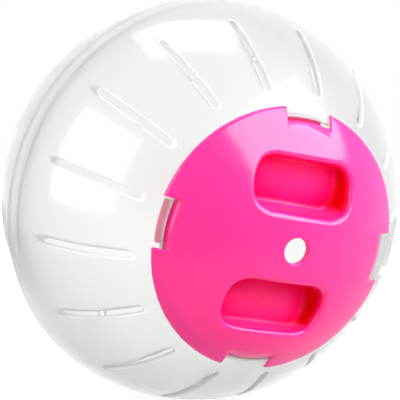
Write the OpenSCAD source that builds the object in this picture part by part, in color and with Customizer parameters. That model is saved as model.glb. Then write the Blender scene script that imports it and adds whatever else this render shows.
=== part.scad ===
// Hamster ball: two clear half shells that lap at the seam, and a bayonet lid.
// The shells' common centre is the origin, +Z is up and the lid faces -Y.

/* [Ball] */
// Outside diameter, over the front shell
ball_d = 120; // [100:1:185]
// Wall thickness of both shells
wall = 1.6; // [1.2:0.1:2.2]

/* [Seam] */
// How far in front of the centre the front shell's rim ends
rim_ahead = 3.8; // [2:0.1:8]
// How far the rear shell reaches into the front shell
lap = 2.7; // [2:0.1:5]
// Thickness that the locating band adds inside the front shell
band_t = 0.9; // [0.6:0.1:1.2]
// Radial play between the shells in the lap
lap_play = 0.25; // [0.2:0.05:0.4]
// Height of the lip that stops the rear shell, above the band
stop_h = 1.1; // [0.8:0.1:1.4]
// Width of the stop lip's face
stop_w = 0.8; // [0.6:0.1:1.5]
// Gap between the rear shell's end and the stop lip
stop_gap = 0.3; // [0.2:0.05:0.5]

/* [Vents] */
// Number of slots in each shell
slot_count = 16; // [8:2:20]
// Width of a slot
slot_w = 2; // [1.5:0.1:3]
// Distance from the edge of the lid to the slots
slot_gap = 3.1; // [1:0.1:6]
// Angle from the lid's axis at which a slot ends, in degrees
slot_to = 67.6; // [55:0.1:70]

/* [Lid] */
// How far the lid's flange reaches past the edge of the way in
flange_reach = 2.85; // [2.2:0.05:4]
// Height of the lid's crown above the ball
lid_rise = 0.6; // [0.3:0.1:2]
// Wall thickness of the lid's crown
lid_wall = 1.7; // [1.3:0.1:2.2]
// Thickness of the lid's flange at its edge
flange_t = 1.2; // [1:0.1:1.6]
// Gap between the flange and the front shell
flange_gap = 0.25; // [0.2:0.05:0.4]
// Diameter of the hole in the lid's centre
hole_d = 7; // [4:0.1:10]
// Clockwise turn of the locked lid from upright, in degrees
lid_turn = 15.5; // [0:0.5:45]

/* [Bayonet] */
// Diameter of the way in through the front shell
opening_d = 67.2; // [64:0.1:76]
// Radial play between the lid's skirt and the way in
skirt_play = 0.7; // [0.3:0.05:1]
// Wall thickness of the lid's skirt
skirt_wall = 1.4; // [1.2:0.1:1.8]
// Number of tabs on the skirt
tab_count = 4; // [3:1:4]
// How far a tab reaches past the edge of the way in
tab_reach = 0.8; // [0.6:0.1:1.2]
// Thickness of a tab at its outer edge
tab_t = 1.1; // [0.8:0.1:2]
// Arc of a tab, in degrees
tab_arc = 20; // [12:1:22]
// Gap between a tab and the shell above it
tab_gap = 0.3; // [0.2:0.05:0.4]
// Turn from locked to unlocked, in degrees
lock_turn = 30; // [26:1:34]
// Width of the notch in the flange above each tab
notch_w = 13.5; // [12:0.5:16]
// Width of the bevel at the notch's inner edge
bevel_w = 1.6; // [0.6:0.1:2]
// How deep the bevel cuts below the crown at the notch
bevel_depth = 1; // [0.4:0.1:1.4]

/* [Finger recesses] */
// Length of a recess at its mouth
recess_l = 32; // [26:0.5:34]
// Width of a recess at its mouth
recess_w = 14.4; // [11:0.1:16]
// Distance from the lid's centre to the middle of a recess
recess_off = 16.5; // [14.5:0.1:18]
// Depth of a recess below the crown
recess_depth = 8.5; // [6:0.5:12]
// Wall and floor thickness of a recess
recess_wall = 1.5; // [1.2:0.1:1.8]
// Draft of the recess walls, in degrees
recess_draft = 4; // [1:0.5:6]
// Slope of the recess ends, in degrees
end_slope = 16; // [8:1:20]

/* [Hidden] */
$fn = 96;

// How far a cut runs past what it cuts
overrun = 2;
// How far joined solids sink into each other
bite = 0.4;
// Play round a tab in its cut-out: radial, and in degrees at each side
cutout_play = 0.4;
cutout_side = 1.5;
// How far the notch floor stands out from the skirt
notch_root = 0.15;

// Shells: heights are measured along the lid's axis, from the centre
ball_r = ball_d / 2;
inner_r = ball_r - wall;
band_r = inner_r - band_t;
rear_r = band_r - lap_play;
rear_inner_r = rear_r - wall;
band_end = rim_ahead + lap + stop_gap;
stop_r = band_r - stop_h;
stop_x = sqrt(stop_r * stop_r - band_end * band_end);
stop_slope = wall + band_t + stop_h;

// Lid: radii are measured from the lid's axis
opening_r = opening_d / 2;
lid_r = opening_r + flange_reach;
skirt_r = opening_r - skirt_play;
skirt_inner_r = skirt_r - skirt_wall;
tab_r = opening_r + tab_reach;
seat_r = ball_r + flange_gap;
pole = ball_r + lid_rise;
edge_top = height_on(seat_r, lid_r) + flange_t;
crown_sag = pole - edge_top;
crown_r = (lid_r * lid_r + crown_sag * crown_sag) / (2 * crown_sag);
crown_centre = pole - crown_r;
under_r = inner_r - tab_gap;
skirt_end = height_on(under_r, tab_r) - tab_t;
notch_floor_r = skirt_r + notch_root;

// Recess: its mouth is level with the crown above its middle
mouth_z = crown_centre + height_on(crown_r, recess_off);
floor_z = mouth_z - recess_depth;
recess_straight = recess_l - recess_w;

// Height of a sphere's surface above its centre, at a distance from the axis
function height_on(sphere_r, axis_r) = sqrt(sphere_r * sphere_r - axis_r * axis_r);

// Half width of a recess at a height
function recess_half(z) = recess_w / 2 + (z - mouth_z) * tan(recess_draft);

// Half length of a recess at a height
function recess_end(z) = recess_l / 2 + (z - mouth_z) * tan(end_slope);

// Turns a solid modelled along +Z so that it faces -Y
module facing() {
    rotate([90, 0, 0]) children();
}

// Section of a spherical wall between two heights
module wall_section(outer_r, inner_r, low, high) {
    intersection() {
        difference() {
            circle(r = outer_r);
            circle(r = inner_r);
        }
        translate([0, low]) square([outer_r, high - low]);
    }
}

// Section of the lip that stops the rear shell, with its sloped back
module stop_section() {
    intersection() {
        circle(r = inner_r + wall / 2);
        polygon([
            [stop_x, band_end],
            [stop_x, band_end + stop_w],
            [stop_x + stop_slope, band_end + stop_w + stop_slope],
            [stop_x + stop_slope, band_end],
        ]);
    }
}

// Straight slots round the axis, from a radius to a radius
module slot_ring(from_r, to_r, height) {
    for (i = [0 : slot_count - 1]) {
        rotate([0, 0, 90 + i * 360 / slot_count]) {
            translate([from_r + slot_w / 2, -slot_w / 2, 0])
                cube([to_r - from_r - slot_w, slot_w, height]);
            for (x = [from_r + slot_w / 2, to_r - slot_w / 2])
                translate([x, 0, 0]) cylinder(d = slot_w, h = height);
        }
    }
}

// Ring sector centred on the X axis
module sector(arc, from_r, to_r, low, high) {
    rotate([0, 0, -arc / 2]) rotate_extrude(angle = arc)
        translate([from_r, low]) square([to_r - from_r, high - low]);
}

// Places its children once for each tab
module each_tab(turn) {
    for (i = [0 : tab_count - 1])
        rotate([0, 0, turn + i * 360 / tab_count]) children();
}

// Section of a solid that widens from one height to another
module drafted_section(low_half, high_half, low, high) {
    polygon([[-low_half, low], [low_half, low], [high_half, high], [-high_half, high]]);
}

// Recess, grown by its wall: drafted, with round ends that the slope cuts flat
module recess(low, high, grow) {
    low_r = recess_half(low) + grow;
    high_r = recess_half(high) + grow;
    intersection() {
        union() {
            for (x = [-recess_straight / 2, recess_straight / 2])
                translate([x, 0, low]) cylinder(r1 = low_r, r2 = high_r, h = high - low);
            rotate([90, 0, 90]) linear_extrude(recess_straight, center = true)
                drafted_section(low_r, high_r, low, high);
        }
        rotate([90, 0, 0]) linear_extrude(2 * (high_r + overrun), center = true)
            drafted_section(recess_end(low) + grow, recess_end(high) + grow, low, high);
    }
}

// Places its children at both recesses
module each_recess() {
    for (turn = [0, 180])
        rotate([0, 0, turn]) translate([0, recess_off, 0]) children();
}

module front_shell() {
    color([0.93, 0.94, 0.95, 0.45]) facing() difference() {
        rotate_extrude() {
            wall_section(ball_r, inner_r, rim_ahead, ball_r);
            wall_section(inner_r + wall / 2, band_r, rim_ahead, band_end + stop_w);
            stop_section();
        }
        cylinder(r = opening_r, h = ball_r + overrun);
        each_tab(lock_turn - lid_turn)
            sector(tab_arc + 2 * cutout_side, opening_r - overrun, tab_r + cutout_play, 0, ball_r);
        slot_ring(lid_r + slot_gap, ball_r * sin(slot_to), ball_r);
    }
}

module rear_shell() {
    color([0.9, 0.91, 0.92, 0.45]) facing() difference() {
        rotate_extrude()
            wall_section(rear_r, rear_inner_r, -rear_r, rim_ahead + lap);
        mirror([0, 0, 1])
            slot_ring(lid_r + slot_gap, rear_r * sin(slot_to), rear_r);
    }
}

// Section of the domed crown, its flange and the skirt
module lid_section() {
    difference() {
        intersection() {
            translate([0, crown_centre]) circle(r = crown_r);
            translate([0, skirt_end]) square([lid_r, pole - skirt_end]);
        }
        intersection() {
            translate([0, crown_centre]) circle(r = crown_r - lid_wall);
            square([skirt_inner_r, pole]);
        }
        intersection() {
            circle(r = seat_r);
            translate([skirt_r, 0]) square([lid_r, pole]);
        }
    }
}

// Section of a tab, whose top follows the inside of the shell
module tab_section() {
    intersection() {
        circle(r = under_r);
        translate([skirt_r - bite, skirt_end]) square([tab_r - skirt_r + bite, pole - skirt_end]);
    }
}

// Cuts the flange away above a tab, with a bevel on the inner edge that runs on past the crown
module notch() {
    bevel_low = [notch_floor_r, crown_centre + height_on(crown_r, notch_floor_r) - bevel_depth];
    bevel_high = [notch_floor_r - bevel_w, crown_centre + height_on(crown_r, notch_floor_r - bevel_w)];
    bevel_past = 2 * bevel_high - bevel_low;
    intersection() {
        translate([0, -notch_w / 2, 0]) cube([lid_r + overrun, notch_w, pole + overrun]);
        rotate_extrude() polygon([
            [notch_floor_r, skirt_end],
            [lid_r + overrun, skirt_end],
            [lid_r + overrun, bevel_past.y],
            bevel_past,
            bevel_low,
        ]);
    }
}

module lid() {
    color([1, 0.18, 0.58]) facing() rotate([0, 0, -lid_turn]) difference() {
        union() {
            difference() {
                rotate_extrude() lid_section();
                each_tab(0) notch();
            }
            each_tab(0) rotate([0, 0, -tab_arc / 2])
                rotate_extrude(angle = tab_arc) tab_section();
            intersection() {
                each_recess() recess(floor_z - recess_wall, pole, recess_wall);
                translate([0, 0, crown_centre]) sphere(r = crown_r - lid_wall / 2);
            }
        }
        each_recess() recess(floor_z, pole + overrun, 0);
        cylinder(d = hole_d, h = pole + overrun);
    }
}

front_shell();
rear_shell();
lid();
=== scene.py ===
"""Looks of the hamster ball: two clear moulded shells and a glossy pink lid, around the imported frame.

Shapes are worked out in millimetres along the lid's axis: x to the right, y up and z out of the lid. Each
is a field that is negative inside the plastic, and skin() turns it into a mesh whose edges are rounded as
moulded ones are.
"""

import math

import bpy
import numpy as np
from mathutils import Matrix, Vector


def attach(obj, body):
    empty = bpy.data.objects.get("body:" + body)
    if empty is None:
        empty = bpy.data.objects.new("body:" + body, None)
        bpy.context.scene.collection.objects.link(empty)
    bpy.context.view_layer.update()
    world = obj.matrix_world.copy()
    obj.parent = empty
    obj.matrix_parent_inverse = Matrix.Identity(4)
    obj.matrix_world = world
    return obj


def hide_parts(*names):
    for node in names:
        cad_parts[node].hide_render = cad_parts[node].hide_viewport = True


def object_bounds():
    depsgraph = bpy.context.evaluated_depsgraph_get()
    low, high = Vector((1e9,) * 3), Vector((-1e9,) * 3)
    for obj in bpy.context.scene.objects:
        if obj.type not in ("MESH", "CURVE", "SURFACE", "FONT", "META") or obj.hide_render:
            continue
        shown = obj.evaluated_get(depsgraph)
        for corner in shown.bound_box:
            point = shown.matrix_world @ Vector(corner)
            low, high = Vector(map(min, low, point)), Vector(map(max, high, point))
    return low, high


MM = 0.001

# Ball and seam
BALL_R = 60.0
WALL = 1.6
INNER_R = BALL_R - WALL
RIM_AHEAD = 3.8
LAP = 2.7
BAND_T = 0.9
BAND_R = INNER_R - BAND_T
LAP_PLAY = 0.25
REAR_R = BAND_R - LAP_PLAY
STOP_H = 1.1
STOP_R = BAND_R - STOP_H
STOP_GAP = 0.3
STOP_W = 0.8
BAND_END = RIM_AHEAD + LAP + STOP_GAP

# Lid and its bayonet
OPENING_R = 33.6
FLANGE_REACH = 2.85
LID_R = OPENING_R + FLANGE_REACH
LID_TURN = math.radians(-15.5)
LOCK_TURN = math.radians(30)
LID_RISE = 0.6
POLE = BALL_R + LID_RISE
LID_WALL = 1.7
FLANGE_T = 1.2
FLANGE_GAP = 0.25
SEAT_R = BALL_R + FLANGE_GAP
SKIRT_PLAY = 0.7
SKIRT_R = OPENING_R - SKIRT_PLAY
SKIRT_WALL = 1.4
TAB_COUNT = 4
TAB_REACH = 0.8
TAB_R = OPENING_R + TAB_REACH
TAB_T = 1.1
TAB_ARC = math.radians(20)
TAB_GAP = 0.3
UNDER_R = INNER_R - TAB_GAP
CUTOUT_PLAY = 0.4
CUTOUT_R = TAB_R + CUTOUT_PLAY
CUTOUT_SIDE = math.radians(1.5)
CUTOUT_ARC = TAB_ARC + 2 * CUTOUT_SIDE
NOTCH_ROOT = 0.15
NOTCH_R = SKIRT_R + NOTCH_ROOT
NOTCH_W = 13.5
BEVEL_W = 1.6
BEVEL_DEPTH = 1.0
HOLE_R = 3.5

# Vent slots
SLOT_COUNT = 16
SLOT_W = 2.0
SLOT_GAP = 3.1
SLOT_FROM = LID_R + SLOT_GAP
SLOT_TO = math.radians(67.6)
FRONT_SLOT_END = BALL_R * math.sin(SLOT_TO)
REAR_SLOT_END = REAR_R * math.sin(SLOT_TO)

# Finger recesses
RECESS_L = 32.0
RECESS_W = 14.4
RECESS_OFF = 16.5
RECESS_DEPTH = 8.5
RECESS_WALL = 1.5
RECESS_DRAFT = math.tan(math.radians(4))
END_SLOPE = math.radians(16)

# Radii of the rounded edges, and how far from a cut the whiter plastic of the painted edge highlight reaches
SHARP = 0.1
CREASE = 0.15
WALL_EDGE = 0.2
RIM_EDGE = 0.25
TAB_EDGE = 0.25
OPENING_EDGE = 0.3
BAND_ROOT = 0.3
SEAT_EDGE = 0.3
TAB_CORNER = 0.3
SLOT_EDGE = 0.4
SEAT_LIP = 0.45
CUTOUT_CORNER = 0.5
NOTCH_CORNER = 0.5
HOLE_EDGE = 0.5
FLANGE_EDGE = 0.55
NOTCH_EDGE = 0.55
CROWN_ROOT = 0.8
RECESS_LIP = 1.5
RECESS_FLOOR = 1.6
RECESS_CORNER = 2.0
EDGE_HIGHLIGHT_REACH = 0.3

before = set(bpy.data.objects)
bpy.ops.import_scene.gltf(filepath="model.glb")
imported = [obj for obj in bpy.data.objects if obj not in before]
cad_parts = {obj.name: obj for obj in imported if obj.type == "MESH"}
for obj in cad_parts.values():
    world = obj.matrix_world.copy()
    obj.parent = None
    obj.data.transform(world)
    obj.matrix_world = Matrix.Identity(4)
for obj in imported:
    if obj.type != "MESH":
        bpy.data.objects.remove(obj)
cad_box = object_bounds()


def height_on(sphere_r, axis_r):
    """Height of a sphere's surface above its centre, at a distance from the axis."""
    return math.sqrt(sphere_r**2 - axis_r**2)


STOP_X = height_on(STOP_R, BAND_END)
EDGE_TOP = height_on(SEAT_R, LID_R) + FLANGE_T
CROWN_SAG = POLE - EDGE_TOP
CROWN_R = (LID_R**2 + CROWN_SAG**2) / (2 * CROWN_SAG)
CROWN_Z = POLE - CROWN_R
SKIRT_END = height_on(UNDER_R, TAB_R) - TAB_T
BEVEL_LOW = (NOTCH_R, CROWN_Z + height_on(CROWN_R, NOTCH_R) - BEVEL_DEPTH)
BEVEL_HIGH = (NOTCH_R - BEVEL_W, CROWN_Z + height_on(CROWN_R, NOTCH_R - BEVEL_W))
MOUTH_Z = CROWN_Z + height_on(CROWN_R, RECESS_OFF)
FLOOR_Z = MOUTH_Z - RECESS_DEPTH


# Fields

def both(a, b, r):
    """Intersection of two fields, whose edge is rounded to radius r."""
    return np.minimum(-r, np.maximum(a, b)) + np.hypot(np.maximum(a + r, 0), np.maximum(b + r, 0))


def cut(a, b, r):
    """Field a with b cut out of it, and the edge rounded to radius r."""
    return both(a, -b, r)


def join(a, b, r):
    """Union of two fields, whose corner is filled to radius r."""
    return np.maximum(r, np.minimum(a, b)) - np.hypot(np.maximum(r - a, 0), np.maximum(r - b, 0))


def folded(x, y, count, turn):
    """Turns every point into the one sector, of count, that is centred on turn.

    Gives the point's place along the middle of the sector, and across it.
    """
    step = 2 * math.pi / count
    angle = np.arctan2(y, x) - turn
    angle -= step * np.round(angle / step)
    rho = np.hypot(x, y)
    return rho * np.cos(angle), rho * np.sin(angle)


def sector(across, along, arc):
    """Field of the wedge of that arc."""
    return np.abs(across) * math.cos(arc / 2) - along * math.sin(arc / 2)


def slot_field(x, y, slot_end):
    """Field of the vent slots, which are cut straight along the axis."""
    along, across = folded(x, y, SLOT_COUNT, math.pi / 2)
    low, high = SLOT_FROM + SLOT_W / 2, slot_end - SLOT_W / 2
    past = along - np.clip(along, low, high)
    return np.hypot(past, across) - SLOT_W / 2


def front_field(x, y, z):
    """Field of the front shell, with the locating band and the stop lip inside its rim."""
    rho = np.hypot(x, y)
    radius = np.hypot(rho, z)
    behind_lip = z - BAND_END - STOP_W
    band = both(BAND_R - radius, behind_lip, CREASE)
    slope = (behind_lip - (rho - STOP_X)) / math.sqrt(2)
    stop = both(both(STOP_X - rho, BAND_END - z, CREASE), slope, CREASE)
    hollow = cut(radius - INNER_R, np.minimum(band, stop), BAND_ROOT)
    shell = both(radius - BALL_R, -hollow, WALL_EDGE)
    shell = both(shell, RIM_AHEAD - z, RIM_EDGE)
    along, across = folded(x, y, TAB_COUNT, LID_TURN + LOCK_TURN)
    cutout = both(rho - CUTOUT_R, sector(across, along, CUTOUT_ARC), CUTOUT_CORNER)
    shell = cut(shell, np.minimum(rho - OPENING_R, cutout), OPENING_EDGE)
    return cut(shell, slot_field(x, y, FRONT_SLOT_END), SLOT_EDGE)


def front_edge(x, y, z):
    """Whether a point of the front shell lies on a slot's edge or the rim."""
    # Painted highlight: faces here take the whiter edge plastic.
    return (slot_field(x, y, FRONT_SLOT_END) < EDGE_HIGHLIGHT_REACH) | (z < RIM_AHEAD + EDGE_HIGHLIGHT_REACH)


def rear_field(x, y, z):
    """Field of the rear shell, whose rim runs ahead of the centre, into the front shell."""
    radius = np.hypot(np.hypot(x, y), z)
    shell = both(radius - REAR_R, REAR_R - WALL - radius, WALL_EDGE)
    shell = both(shell, z - RIM_AHEAD - LAP, RIM_EDGE)
    slots_behind = np.maximum(slot_field(x, y, REAR_SLOT_END), z)
    return cut(shell, slots_behind, SLOT_EDGE)


def rear_edge(x, y, z):
    """Whether a point of the rear shell lies on a slot's edge."""
    return (slot_field(x, y, REAR_SLOT_END) < EDGE_HIGHLIGHT_REACH) & (z < 0)


def recess_field(x, y, z, grow, low, floor_r):
    """Field of a drafted recess with sloped ends, grown all round by grow, from height low up."""
    half = (RECESS_W / 2 + (z - MOUTH_Z) * RECESS_DRAFT) + grow
    past = np.maximum(np.abs(x) - (RECESS_L - RECESS_W) / 2, 0)
    ends = (np.abs(x) - RECESS_L / 2 - grow) * math.cos(END_SLOPE) - (z - MOUTH_Z) * math.sin(END_SLOPE)
    walls = both(np.hypot(past, np.abs(y) - RECESS_OFF) - half, ends, RECESS_CORNER)
    return both(walls, low - z, floor_r)


def notch_field(rho, z, along, across):
    """Field of a notch in the flange above a tab, with the bevel at its inner edge."""
    run, rise = BEVEL_LOW[0] - BEVEL_HIGH[0], BEVEL_HIGH[1] - BEVEL_LOW[1]
    bevel = ((BEVEL_LOW[1] - z) * run - (rho - BEVEL_LOW[0]) * rise) / math.hypot(run, rise)
    inner = np.minimum(NOTCH_R - rho, bevel)
    slot = both(np.abs(across) - NOTCH_W / 2, -along, SHARP)
    return both(both(inner, slot, NOTCH_CORNER), SKIRT_END - z, SHARP)


def tab_field(rho, radius, z, along, across):
    """Field of a tab, whose top follows the inside of the front shell."""
    tab = both(radius - UNDER_R, rho - TAB_R, TAB_EDGE)
    tab = both(tab, sector(across, along, TAB_ARC), TAB_CORNER)
    tab = both(tab, SKIRT_END - z, TAB_EDGE)
    return both(tab, SKIRT_R - SKIRT_WALL - rho, SHARP)


def lid_field(x, y, z):
    """Field of the lid, before its turn."""
    rho = np.hypot(x, y)
    radius = np.hypot(rho, z)
    crown = np.hypot(rho, z - CROWN_Z) - CROWN_R
    along, across = folded(x, y, TAB_COUNT, 0)
    top = both(crown, rho - LID_R, FLANGE_EDGE)
    top = cut(top, recess_field(x, y, z, 0, FLOOR_Z, RECESS_FLOOR), RECESS_LIP)
    top = cut(top, rho - HOLE_R, HOLE_EDGE)
    recess_back = recess_field(x, y, z, RECESS_WALL, FLOOR_Z - RECESS_WALL, RECESS_CORNER)
    under = both(crown + LID_WALL, rho - SKIRT_R + SKIRT_WALL, CROWN_ROOT)
    under = cut(np.minimum(under, z - SKIRT_END), recess_back, CROWN_ROOT)
    under_flange = both(radius - SEAT_R, SKIRT_R - rho, SEAT_EDGE)
    body = cut(top, notch_field(rho, z, along, across), NOTCH_EDGE)
    body = cut(body, under, CREASE)
    body = cut(body, under_flange, SEAT_LIP)
    return join(body, tab_field(rho, radius, z, along, across), CREASE)


# Meshes

CORNERS = np.array([(i, j, k) for i in (0, 1) for j in (0, 1) for k in (0, 1)])
EDGES = [(p, q) for p in range(8) for q in range(p + 1, 8) if np.abs(CORNERS[p] - CORNERS[q]).sum() == 1]
SLOPE_STEP = 0.01
SLOPE_LEAST = 0.05
MOVES = 5
FARTHEST_MOVE = 0.3


def slope_of(field, p):
    """Gradient of a field at points p, which has a row each for x, y and z."""
    rows = []
    for axis in range(3):
        step = np.zeros((3, 1))
        step[axis] = SLOPE_STEP
        rows.append((field(*(p + step)) - field(*(p - step))) / (2 * SLOPE_STEP))
    return np.array(rows)


def on_surface(field, p):
    """Moves points p along the gradient onto the field's surface. Gives them and their normals."""
    for _ in range(MOVES):
        g = slope_of(field, p)
        move = field(*p) / np.maximum((g * g).sum(0), SLOPE_LEAST)
        p = p - g * np.clip(move, -FARTHEST_MOVE, FARTHEST_MOVE)
    g = slope_of(field, p)
    return p, g / np.maximum(np.sqrt((g * g).sum(0)), 1e-9)


def crossed_cells(inside):
    """The grid's cells that the surface crosses, and a grid with each one's number, or -1."""
    nx, ny, nz = sizes = [n - 1 for n in inside.shape]
    count = sum(inside[i : i + nx, j : j + ny, k : k + nz].astype(np.int8) for i, j, k in CORNERS)
    cells = np.argwhere((count > 0) & (count < len(CORNERS)))
    ids = np.full(sizes, -1)
    ids[tuple(cells.T)] = np.arange(len(cells))
    return cells, ids


def cell_points(value, cells, axes):
    """The middle, in each cell, of the places where the surface crosses the cell's edges."""
    at = cells[:, None, :] + CORNERS[None]
    corner = value[at[..., 0], at[..., 1], at[..., 2]]
    total = np.zeros((len(cells), 3))
    crossings = np.zeros(len(cells))
    for p, q in EDGES:
        crossed = (corner[:, p] < 0) != (corner[:, q] < 0)
        share = corner[:, p] / np.where(crossed, corner[:, p] - corner[:, q], 1)
        total += crossed[:, None] * (CORNERS[p] + share[:, None] * (CORNERS[q] - CORNERS[p]))
        crossings += crossed
    mean = total / crossings[:, None]
    return [a[cells[:, n]] + mean[:, n] * (a[cells[:, n] + 1] - a[cells[:, n]]) for n, a in enumerate(axes)]


def quads_round(inside, ids, loop):
    """A quad for each grid line that the surface crosses, between the four cells round that line."""
    quads = []
    for a, b, c in ((0, 1, 2), (1, 2, 0), (2, 0, 1)):
        low, high = [slice(None)] * 3, [slice(None)] * 3
        low[a], high[a] = slice(None, -1), slice(1, None)
        starts = inside[tuple(low)]
        edge = np.argwhere(starts != inside[tuple(high)])
        for n in (b, c):
            edge = edge[edge[:, n] < ids.shape[n]]
            if not (loop and n == 1):
                edge = edge[edge[:, n] > 0]
        ring = []
        for db, dc in ((-1, -1), (0, -1), (0, 0), (-1, 0)):
            cell = edge.copy()
            cell[:, b] += db
            cell[:, c] += dc
            cell[:, 1] %= ids.shape[1]
            ring.append(ids[tuple(cell.T)])
        ring = np.array(ring).T
        flip = ~starts[tuple(edge.T)]
        ring[flip] = ring[flip][:, ::-1]
        quads.append(ring)
    return np.concatenate(quads)


def close_pole(ids, points, normals):
    """Closes the surface where the first axis begins, with a point on the ball's axis and a fan round it."""
    fans = []
    for layer in range(ids.shape[2]):
        ring = ids[0, :, layer]
        if (ring < 0).any():
            continue
        outwards = np.sign(normals[2, ring[0]])
        tip_id = points.shape[1]
        points = np.hstack([points, [[0], [0], [points[2, ring].mean()]]])
        normals = np.hstack([normals, [[0], [0], [outwards]]])
        pairs = zip(ring, np.roll(ring, -1))
        fans += [(p, q, tip_id) if outwards > 0 else (q, p, tip_id) for p, q in pairs]
    return points, normals, fans


def in_world(rows):
    """Points or directions along the lid's axis, turned into the frame."""
    return np.array([rows[0], -rows[2], rows[1]]).T


def skin(name, field, axes, place, loop=False, pole=False, on_edge=None):
    """Mesh round the inside of a field, on the grid of axes that place() bends into space.

    loop joins the ends of the second axis. pole closes the surface where the first axis begins. on_edge tells
    which points lie on a cut edge: faces there take the second material.
    """
    value = field(*place(*np.meshgrid(*axes, indexing="ij")))
    inside = value < 0
    cells, ids = crossed_cells(inside)
    points, normals = on_surface(field, np.array(place(*cell_points(value, cells, axes))))
    faces = quads_round(inside, ids, loop)
    fans = []
    if pole:
        points, normals, fans = close_pole(ids, points, normals)

    world = in_world(points) * MM
    a, b, c = (world[faces[:, n]] for n in (0, 1, 2))
    if (np.cross(a, b) * c).sum() < 0:
        faces = faces[:, ::-1]
    mesh = bpy.data.meshes.new(name)
    mesh.from_pydata(world.tolist(), [], faces.tolist() + [tuple(map(int, f)) for f in fans])
    if on_edge:
        marks = np.zeros(len(mesh.polygons), np.int32)
        marks[: len(faces)] = on_edge(*points[:, faces].mean(2))
        mesh.polygons.foreach_set("material_index", marks)
    mesh.shade_smooth()
    mesh.normals_split_custom_set_from_vertices(in_world(normals).tolist())
    piece = bpy.data.objects.new(name, mesh)
    bpy.context.scene.collection.objects.link(piece)
    return piece


# Grids, with their angles in degrees

FINE = 0.35
COARSE = 1.5
GROWTH = 0.35
LAYER = 0.38
LID_CELL = 0.45


def graded(low, high, spans, fine, coarse, reach):
    """Grid lines in radians, from low to high, fine within reach of each span and coarser away from them."""
    low, high, fine, coarse, reach = map(math.radians, (low, high, fine, coarse, reach))
    spans = [(math.radians(a), math.radians(b)) for a, b in spans]
    lines = [low]
    while lines[-1] < high:
        away = min(max(a - lines[-1], lines[-1] - b, 0) for a, b in spans)
        lines.append(lines[-1] + min(fine + max(away - reach, 0) * GROWTH, coarse))
    lines = np.array(lines)
    return low + (lines - low) * (high - low) / (lines[-1] - low)


def round_the_ball():
    """Grid lines round the axis, fine at both edges of each slot."""
    step = 2 * math.pi / SLOT_COUNT
    half_slot = (0, 1.7)
    half = graded(0, 180 / SLOT_COUNT, [half_slot], fine=0.4, coarse=1.4, reach=0.4)
    one = np.concatenate([-half[:0:-1], half])[:-1]
    lines = np.concatenate([one + n * step for n in range(SLOT_COUNT)])
    lines = lines + math.pi / 2
    return np.append(lines, lines[0] + 2 * math.pi)


def from_sphere(tilt, turn, radius):
    """A point at an angle from the lid's axis, turned round it, at a radius from the centre."""
    return radius * np.sin(tilt) * np.cos(turn), radius * np.sin(tilt) * np.sin(turn), radius * np.cos(tilt)


def make_front():
    way_in, slot_starts, slot_ends, rim = (33, 37), (40.6, 43.2), (66.8, 72.6), (80, 88)
    tilt = graded(way_in[0], rim[1], (way_in, slot_starts, slot_ends, rim), FINE, COARSE, FINE)
    low, high = STOP_R - 0.8, BALL_R + 0.9
    axes = (tilt, round_the_ball(), np.arange(low, high, LAYER))
    return skin("front_shell_moulding", front_field, axes, from_sphere, loop=True, on_edge=front_edge)


def make_rear():
    pole, slot_starts, slot_ends, rim = 2, (42, 46), (66.8, 73), (94, 98)
    tilt = graded(pole, rim[1], (slot_starts, slot_ends, rim), FINE, COARSE, FINE)
    low, high = REAR_R - WALL - 0.75, REAR_R + 0.85
    axes = (tilt, round_the_ball(), np.arange(low, high, LAYER))

    def place(tilt, turn, radius):
        x, y, z = from_sphere(tilt, turn, radius)
        return x, y, -z

    return skin("rear_shell_moulding", rear_field, axes, place, loop=True, pole=True, on_edge=rear_edge)


def make_lid():
    lowest = min(SKIRT_END, FLOOR_Z - RECESS_WALL)
    side = np.arange(-LID_R - 2 * LID_CELL, LID_R + 3 * LID_CELL, LID_CELL)
    rise = np.arange(lowest - 2 * LID_CELL, POLE + 3 * LID_CELL, LID_CELL)

    def turned(x, y, z):
        c, s = math.cos(LID_TURN), math.sin(LID_TURN)
        return lid_field(x * c + y * s, y * c - x * s, z)

    return skin("lid_moulding", turned, (side, side, rise), lambda x, y, z: (x, y, z))


# Materials

PINK = (1.0, 0.006, 0.225)
PINK_CLOUD = (1.0, 0.01, 0.25)
# Painted shade: deeper reds for the finger recesses' floors, corners and end walls.
PINK_FLOOR_SHADE = (0.93, 0.001, 0.17)
PINK_CORNER_SHADE = (0.8, 0.001, 0.012)
PINK_END_SHADE = (0.62, 0.001, 0.004)
# Painted light: lighter pink for the recesses' lower walls, which face up towards the light.
PINK_LOWER_LIT = (1.0, 0.025, 0.24)
PINK_BLEED = (1, 0.08, 0.25)
# Painted light tints of the shells: warm low on the left, cool up on the right.
CLEAR_WARM_LIGHT_TINT = (1.0, 1.0, 0.975)
CLEAR_COOL_LIGHT_TINT = (0.985, 0.988, 1.0)
MILKY_WARM_LIGHT_TINT = (0.965, 0.98, 0.935)
MILKY_COOL_LIGHT_TINT = (0.94, 0.95, 0.965)
# Painted highlight: white for the cut edges of the shells.
EDGE_HIGHLIGHT_WHITE = (0.97, 0.975, 0.97)
RIPPLE = 0.2 * MM
BLEED = 4 * MM
SHADE_REACH = 15 * MM
SHADE_RAYS = 16


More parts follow.
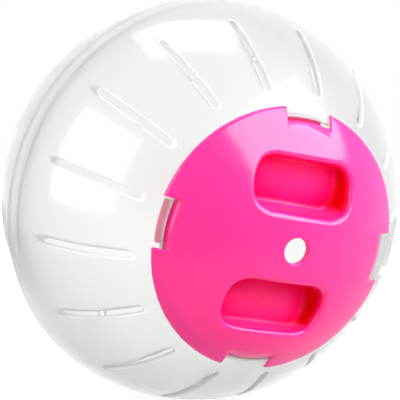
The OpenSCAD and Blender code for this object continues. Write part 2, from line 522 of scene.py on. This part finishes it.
class Graph:
    """Shader nodes of a material or a world. An input is a number, a vector, a colour or an output."""

    def __init__(self, owner):
        owner.use_nodes = True
        self.nodes = owner.node_tree.nodes
        self.links = owner.node_tree.links

    def feed(self, node, inputs):
        for name, value in inputs.items():
            socket = node.inputs[name]
            if isinstance(value, bpy.types.NodeSocket):
                self.links.new(value, socket)
            elif socket.type == "RGBA":
                socket.default_value = (*value, 1)
            else:
                socket.default_value = value

    def add(self, kind, inputs, **settings):
        """New node, whose outputs are returned."""
        node = self.nodes.new(kind)
        for name, value in settings.items():
            setattr(node, name, value)
        self.feed(node, inputs)
        return node.outputs

    def place(self, output="Object"):
        return self.add("ShaderNodeTexCoord", {})[output]

    def rays(self):
        return self.add("ShaderNodeLightPath", {})

    def noise(self, scale, detail):
        inputs = {"Vector": self.place(), "Scale": scale, "Detail": detail}
        return self.add("ShaderNodeTexNoise", inputs)["Fac"]

    def ramp(self, factor, low, high, data_type="RGBA"):
        """Mix of two colours, or of two numbers if data_type is FLOAT."""
        inputs = {"Factor": factor, "A": low, "B": high}
        return self.add("ShaderNodeMix", inputs, data_type=data_type)["Result"]

    def spread(self, value, low, high, start=0.3, end=0.7):
        """low at start and high at end."""
        inputs = {"Value": value, "From Min": start, "From Max": end, "To Min": low, "To Max": high}
        return self.add("ShaderNodeMapRange", inputs)["Result"]

    def fade(self, value, start, end):
        """0 at start and 1 at end, eased."""
        inputs = {"Value": value, "From Min": start, "From Max": end}
        return self.add("ShaderNodeMapRange", inputs, interpolation_type="SMOOTHSTEP")["Result"]

    def measure(self, source, vector, operation="DOT_PRODUCT"):
        """Value of a vector operation between source and a fixed vector."""
        return self.add("ShaderNodeVectorMath", {0: source, 1: vector}, operation=operation)["Value"]

    def calculate(self, operation, *values):
        return self.add("ShaderNodeMath", dict(enumerate(values)), operation=operation)[0]

    def times(self, a, b):
        return self.calculate("MULTIPLY", a, b)

    def bump(self, height):
        return self.add("ShaderNodeBump", {"Strength": 1, "Distance": RIPPLE, "Height": height})["Normal"]


def new_material(name, fill):
    """Material whose main shader takes the inputs that fill(graph) gives."""
    material = bpy.data.materials.new(name)
    graph = Graph(material)
    graph.feed(graph.nodes["Principled BSDF"], fill(graph))
    return material


def painted_recess_shading(graph):
    """Masks of painted shade on the finger recesses' floors, corners and end walls, where light bounces about
    and goes deep red, and of painted light on their lower walls, which face up.
    """
    where, facing = graph.place(), graph.place("Normal")
    c, s = math.cos(LID_TURN), math.sin(LID_TURN)
    along, up = (c, 0, s), (-s, 0, c)
    at_wall, past_wall = RECESS_W / 2 + 0.2, RECESS_W / 2 + 1.8
    at_mouth, deep = CROWN_R - 0.3, CROWN_R - 3.2

    from_middle = graph.calculate("ABSOLUTE", graph.measure(where, up))
    off = graph.calculate("ABSOLUTE", graph.calculate("SUBTRACT", from_middle, RECESS_OFF * MM))
    beside = graph.fade(off, past_wall * MM, at_wall * MM)
    from_centre = graph.measure(where, (0, -CROWN_Z * MM, 0), "DISTANCE")
    inside = graph.times(beside, graph.fade(from_centre, at_mouth * MM, deep * MM))

    # Painted shade on the end walls, which face along the recess.
    endwards = graph.calculate("ABSOLUTE", graph.measure(facing, along))
    ends = graph.times(inside, graph.fade(endwards, 0.2, 0.95))
    # Painted light on the lower walls, which face up; they are kept out of the painted shade.
    lit_lower = graph.times(inside, graph.fade(graph.measure(facing, up), 0.35, 0.95))
    inside = graph.calculate("SUBTRACT", inside, lit_lower)
    # Painted shade on the floors and in the corners, deeper where the ambient occlusion is darker.
    light = graph.add("ShaderNodeAmbientOcclusion", {"Distance": SHADE_REACH}, samples=SHADE_RAYS)["AO"]
    floor = graph.times(inside, graph.fade(light, 0.9, 0.55))
    shaded_corners = graph.times(inside, graph.fade(light, 0.66, 0.36))
    return floor, shaded_corners, ends, lit_lower


def pink_plastic():
    def fill(graph):
        light_and_shade_masks = painted_recess_shading(graph)
        floor = light_and_shade_masks[0]
        colour = graph.ramp(graph.noise(30, 2), PINK, PINK_CLOUD)
        # Painted shade turns the recess floors, corners and end walls deep red. Painted light makes the
        # upward-facing lower walls lighter.
        for mask, tint in zip(light_and_shade_masks, (PINK_FLOOR_SHADE, PINK_CORNER_SHADE, PINK_END_SHADE, PINK_LOWER_LIT)):
            colour = graph.ramp(mask, colour, tint)
        polish = graph.spread(graph.noise(90, 3), 0.14, 0.22)
        return {
            "Base Color": colour,
            # The painted-shade floor mask also roughens the recess floors and takes their sheen down.
            "Roughness": graph.calculate("MULTIPLY_ADD", floor, 0.3, polish),
            "IOR": 1.5,
            "Specular IOR Level": graph.calculate("MULTIPLY_ADD", floor, -0.5, 0.52),
            "Subsurface Weight": 0.6,
            "Subsurface Radius": PINK_BLEED,
            "Subsurface Scale": BLEED,
            "Coat Weight": graph.calculate("MULTIPLY_ADD", floor, -0.25, 0.25),
            "Coat Roughness": 0.04,
            "Normal": graph.bump(graph.noise(25, 1)),
        }

    return new_material("pink_moulded_plastic", fill)


def clear_plastic(name, warm, cool):
    """Clear plastic with a painted light tint that goes from warm low on the left to cool up and across the
    ball, with clouds in it.
    """
    def fill(graph):
        # Painted light tint: cooler up and to the right, warmer low on the left.
        across = graph.measure(graph.place(), (4, 0, 5))
        return {
            "Base Color": graph.ramp(graph.calculate("ADD", across, graph.noise(20, 2)), warm, cool),
            "Roughness": graph.spread(graph.noise(60, 3), 0.29, 0.34),
            "IOR": 1.33,
            "Transmission Weight": 0.95,
            "Coat Weight": 1,
            "Coat Roughness": 0.09,
            "Normal": graph.bump(graph.noise(18, 1)),
        }

    return new_material(name, fill)


def edge_highlight_plastic():
    """Cut edges of the clear shells, made a whiter, half-clear plastic as a painted highlight along them."""
    def fill(graph):
        return {
            "Base Color": EDGE_HIGHLIGHT_WHITE,
            "Roughness": graph.spread(graph.noise(120, 2), 0.42, 0.55),
            "IOR": 1.45,
            "Transmission Weight": 0.35,
        }

    return new_material("painted_edge_highlight", fill)


def dress(piece, node, body, materials):
    for material in materials:
        piece.data.materials.append(material)
    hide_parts(node)
    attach(piece, body)


def paint_nodes(clear, milky, pink):
    """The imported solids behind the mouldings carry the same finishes."""
    for node, material in (("front_shell", clear), ("rear_shell", milky), ("lid", pink)):
        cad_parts[node].data.materials.clear()
        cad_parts[node].data.materials.append(material)


# Studio

WHITE = (1, 1, 1)
CAMERA_FROM = 420.0
CAMERA_SIDE = -26.11
CAMERA_RISE = 15.32
SENSOR_W = 36
PHOTO_SIDE = 400
FOCAL_PX = 1408.1
CENTRE_PX = (194.88, 196.62)
FLOOR_R = 250.0
FLOOR_SIDES = 96
FLOOR_DROP = 0.1
FLOOR_GREY = (0.32, 0.32, 0.32)
PATCH_AT = (0, 45 * MM, 0)
PATCH_OUTER = 125 * MM
PATCH_INNER = 70 * MM
LID_SIDE = (-0.42, -0.87, 0.26)


def aim(thing, side, rise, distance):
    """Puts a camera or a lamp where it faces the ball. side and rise are in degrees from the lid's axis.

    side is 0 in front of the lid and grows towards +X. distance is in metres.
    """
    side, rise = math.radians(side), math.radians(rise)
    away = Vector((math.sin(side) * math.cos(rise), -math.cos(side) * math.cos(rise), math.sin(rise)))
    thing.location = away * distance
    thing.rotation_mode = "QUATERNION"
    thing.rotation_quaternion = (-away).to_track_quat("-Z", "Y")
    bpy.context.scene.collection.objects.link(thing)


def make_camera():
    camera = bpy.data.cameras.new("camera")
    camera.sensor_width = SENSOR_W
    camera.lens = SENSOR_W * FOCAL_PX / PHOTO_SIDE
    camera.shift_x = (PHOTO_SIDE / 2 - CENTRE_PX[0]) / PHOTO_SIDE
    camera.shift_y = (CENTRE_PX[1] - PHOTO_SIDE / 2) / PHOTO_SIDE
    camera.clip_start = 0.01
    camera.clip_end = 50
    eye = bpy.data.objects.new("camera", camera)
    aim(eye, CAMERA_SIDE, CAMERA_RISE, CAMERA_FROM * MM)
    bpy.context.scene.camera = eye


def floor_paper():
    """Near white to the camera and white through the shells. In reflections it is darker, but for a patch."""
    def fill(graph):
        rays = graph.rays()
        near = graph.fade(graph.measure(graph.place(), PATCH_AT, "DISTANCE"), PATCH_OUTER, PATCH_INNER)
        mirrored = graph.calculate("MULTIPLY_ADD", near, 0.5, 0.22)
        levels = {"Is Camera Ray": 0.75, "Is Glossy Ray": mirrored, "Is Transmission Ray": 1}
        strength = 0.0
        for seen, level in levels.items():
            strength = graph.calculate("MAXIMUM", graph.times(rays[seen], level), strength)
        return {
            "Base Color": graph.ramp(rays["Is Transmission Ray"], FLOOR_GREY, (0, 0, 0)),
            "Roughness": 0.9,
            "Emission Color": WHITE,
            "Emission Strength": strength,
        }

    return new_material("floor_paper", fill)


def make_floor():
    lowest = cad_box[0].z
    turns = [2 * math.pi * n / FLOOR_SIDES for n in range(FLOOR_SIDES)]
    rim = [(FLOOR_R * MM * math.cos(a), FLOOR_R * MM * math.sin(a), 0) for a in turns]
    mesh = bpy.data.meshes.new("floor")
    mesh.from_pydata(rim, [], [tuple(range(FLOOR_SIDES))])
    mesh.materials.append(floor_paper())
    floor = bpy.data.objects.new("floor", mesh)
    floor.location = (0, 0, lowest - FLOOR_DROP * MM)
    bpy.context.scene.collection.objects.link(floor)


def make_world():
    """White to the camera and through the shells. The studio is dimmer on the side that the lid faces."""
    world = bpy.data.worlds.new("studio")
    bpy.context.scene.world = world
    graph = Graph(world)
    rays = graph.rays()
    level = graph.spread(graph.measure(graph.place("Generated"), LID_SIDE), 1.25, 0.7, start=-0.3, end=0.9)
    for seen in ("Is Transmission Ray", "Is Camera Ray"):
        level = graph.ramp(rays[seen], level, 1, "FLOAT")
    graph.feed(graph.nodes["Background"], {"Color": WHITE, "Strength": level})


def make_softbox(name, side, rise, distance, size, power, tint):
    """Area lamp that faces the ball, with its distance and size in metres and its power in watts."""
    light = bpy.data.lights.new(name, "AREA")
    light.color = tint
    light.shape = "RECTANGLE"
    light.size, light.size_y = size
    light.energy = power
    lamp = bpy.data.objects.new(name, light)
    lamp.visible_transmission = False
    aim(lamp, side, rise, distance)


def make_lights():
    cool, warm = (0.95, 0.95, 1.0), (1.0, 0.99, 0.95)
    make_softbox("softbox_key", side=37, rise=36, distance=0.5, size=(0.53, 0.375), power=3.9, tint=cool)
    make_softbox("softbox_top", side=160, rise=68, distance=0.8, size=(0.5, 0.4), power=1.3, tint=WHITE)
    make_softbox("softbox_window", side=-89.5, rise=23, distance=0.8, size=(0.64, 0.62), power=2.9, tint=warm)


def main():
    clear = clear_plastic("clear_moulded_plastic", CLEAR_WARM_LIGHT_TINT, CLEAR_COOL_LIGHT_TINT)
    milky = clear_plastic("milky_moulded_plastic", MILKY_WARM_LIGHT_TINT, MILKY_COOL_LIGHT_TINT)
    pink = pink_plastic()
    paint_nodes(clear, milky, pink)
    edge_highlight = edge_highlight_plastic()
    dress(make_front(), "front_shell", "front_shell", (clear, edge_highlight))
    dress(make_rear(), "rear_shell", "rear_shell", (milky, edge_highlight))
    dress(make_lid(), "lid", "lid", (pink,))
    make_camera()
    make_floor()
    make_world()
    make_lights()
    bpy.context.scene.view_settings.view_transform = "Standard"


main()
